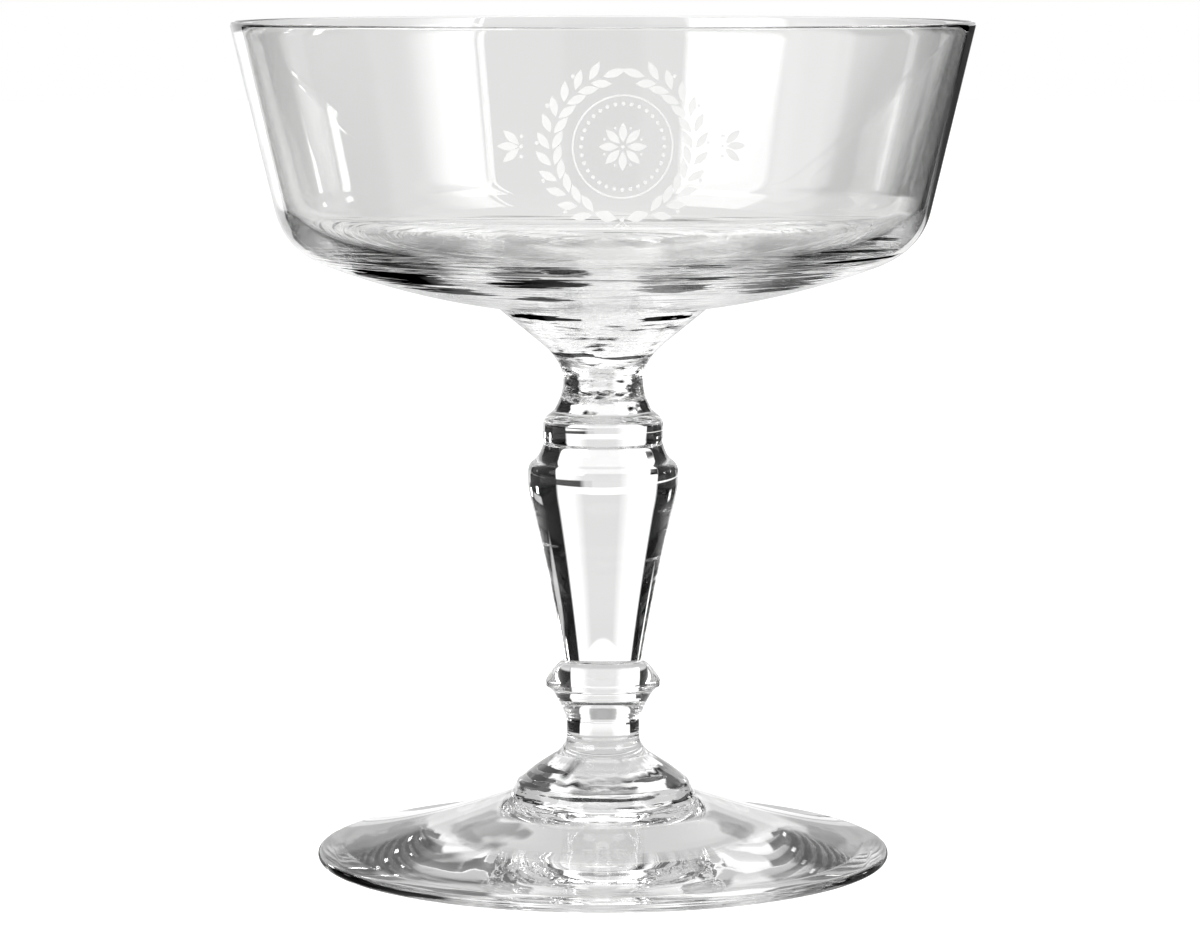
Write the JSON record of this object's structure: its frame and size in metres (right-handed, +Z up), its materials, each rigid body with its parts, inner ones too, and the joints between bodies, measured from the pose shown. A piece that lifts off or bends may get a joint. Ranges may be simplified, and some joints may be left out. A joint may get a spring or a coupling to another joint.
{
  "type": "coupe glass",
  "caption": "Clear glass coupe with a wide flared bowl, a baluster stem with a collar and a ring knop, a sloping round foot and a frosted laurel wreath on the bowl.",
  "frame": {"origin": "centre of the resting ring under the foot, on the plane of the table", "axes": "+Z up along the axis of the glass, from the foot to the lip; the bowl's ornament faces -Y, turned 3 degrees towards +X"},
  "size_m": [0.096, 0.096, 0.1092],
  "materials": {
    "bowl_glass": "clear polished glass",
    "stem_glass": "clear polished glass",
    "foot_glass": "clear polished glass",
    "frosting": "matt white frosting"
  },
  "bodies": {
    "root": {"bowl": "bowl_glass", "stem_flare": "stem_glass", "collar": "stem_glass", "baluster": "stem_glass", "ring_knop": "stem_glass", "spool": "stem_glass", "boss": "stem_glass", "foot": "foot_glass", "frosted_ornament": "frosting"}
  },
  "joints": []
}
